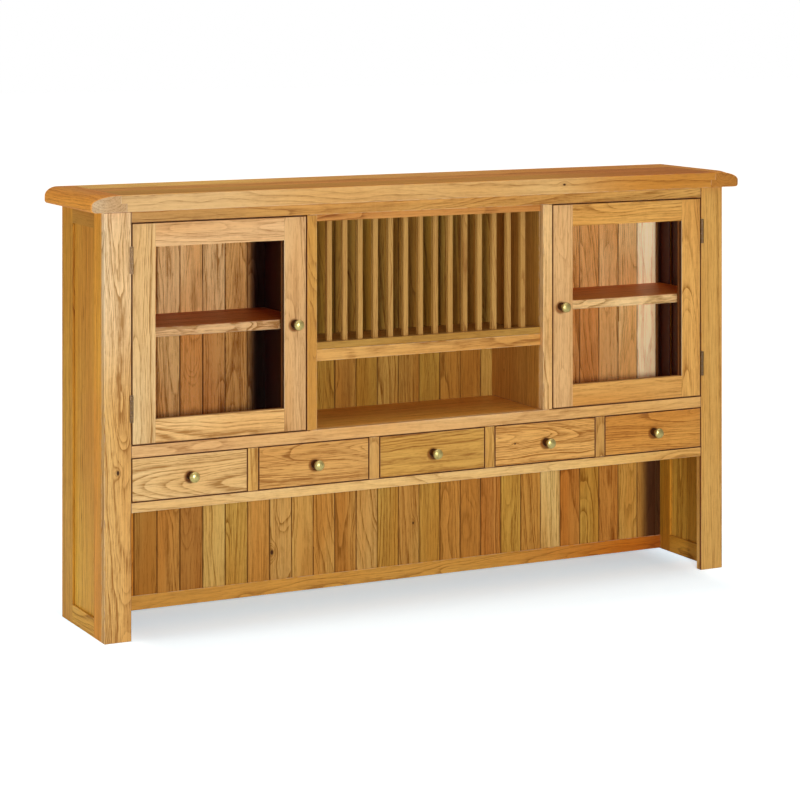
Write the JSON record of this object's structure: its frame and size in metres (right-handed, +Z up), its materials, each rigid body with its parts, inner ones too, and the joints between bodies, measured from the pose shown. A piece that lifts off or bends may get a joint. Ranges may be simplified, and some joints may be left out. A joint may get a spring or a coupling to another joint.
{
  "type": "glazed dresser top with plate rack",
  "caption": "Free-standing oak dresser top with a plate rack over an open bay, between glazed cupboards, above a row of drawers and an open lower bay.",
  "frame": {"origin": "On the floor, under the middle of the whole object's box.", "axes": "+X runs to the right as seen from the front, +Y to the back, +Z up. The doors and drawers face -Y."},
  "size_m": [1.778, 0.346, 1.03],
  "materials": {
    "oak_front": "waxed honey oak, satin",
    "oak_side": "waxed oak, a darker orange brown, satin",
    "oak_inside": "oak, thinly waxed",
    "oak_boards": "oak boards, thinly waxed",
    "brass": "aged solid brass",
    "glass": "clear window glass"
  },
  "bodies": {
    "case": {"back_boards": "oak_boards", "back_bottom_rail": "oak_front", "back_top_rail": "oak_boards", "deck": "oak_inside", "drawer_divider_1": "oak_front", "drawer_divider_2": "oak_front", "drawer_divider_3": "oak_front", "drawer_divider_4": "oak_front", "drawer_floor": "oak_inside", "left_lower_hinge_fixed_leaf": "brass", "left_mullion": "oak_front", "left_partition": "oak_inside", "left_post": "oak_front", "left_shelf": "oak_inside", "left_side_frame": "oak_side", "left_side_panel": "oak_side", "left_upper_hinge_fixed_leaf": "brass", "lower_rail": "oak_front", "middle_rail": "oak_front", "plate_rack": "oak_front", "rack_shelf": "oak_front", "right_lower_hinge_fixed_leaf": "brass", "right_mullion": "oak_front", "right_partition": "oak_inside", "right_post": "oak_front", "right_shelf": "oak_inside", "right_side_frame": "oak_side", "right_side_panel": "oak_side", "right_upper_hinge_fixed_leaf": "brass", "top_board": "oak_front", "top_end_left": "oak_front", "top_end_right": "oak_front", "top_rail": "oak_front"},
    "left_door": {"left_door_frame": "oak_front", "left_door_glass": "glass", "left_door_bead": "oak_front", "left_door_knob": "brass", "left_lower_hinge_door_leaf": "brass", "left_upper_hinge_door_leaf": "brass"},
    "right_door": {"right_door_frame": "oak_front", "right_door_glass": "glass", "right_door_bead": "oak_front", "right_door_knob": "brass", "right_lower_hinge_door_leaf": "brass", "right_upper_hinge_door_leaf": "brass"},
    "drawer_1": {"drawer_1_front": "oak_front", "drawer_1_box": "oak_inside", "drawer_1_knob": "brass"},
    "drawer_2": {"drawer_2_front": "oak_front", "drawer_2_box": "oak_inside", "drawer_2_knob": "brass"},
    "drawer_3": {"drawer_3_front": "oak_front", "drawer_3_box": "oak_inside", "drawer_3_knob": "brass"},
    "drawer_4": {"drawer_4_front": "oak_front", "drawer_4_box": "oak_inside", "drawer_4_knob": "brass"},
    "drawer_5": {"drawer_5_front": "oak_front", "drawer_5_box": "oak_inside", "drawer_5_knob": "brass"}
  },
  "joints": [
    {"name": "left_door_hinge", "type": "hinge", "parent": "case", "child": "left_door", "pos_m": [-0.785, -0.1423, 0.7067], "axis": [0, 0, -1], "range_deg": [0, 170]},
    {"name": "right_door_hinge", "type": "hinge", "parent": "case", "child": "right_door", "pos_m": [0.785, -0.1423, 0.7067], "axis": [0, 0, 1], "range_deg": [0, 170]},
    {"name": "drawer_1_slide", "type": "slide", "parent": "case", "child": "drawer_1", "axis": [0, -1, 0], "range_m": [0, 0.19]},
    {"name": "drawer_2_slide", "type": "slide", "parent": "case", "child": "drawer_2", "axis": [0, -1, 0], "range_m": [0, 0.19]},
    {"name": "drawer_3_slide", "type": "slide", "parent": "case", "child": "drawer_3", "axis": [0, -1, 0], "range_m": [0, 0.19]},
    {"name": "drawer_4_slide", "type": "slide", "parent": "case", "child": "drawer_4", "axis": [0, -1, 0], "range_m": [0, 0.19]},
    {"name": "drawer_5_slide", "type": "slide", "parent": "case", "child": "drawer_5", "axis": [0, -1, 0], "range_m": [0, 0.19]}
  ]
}
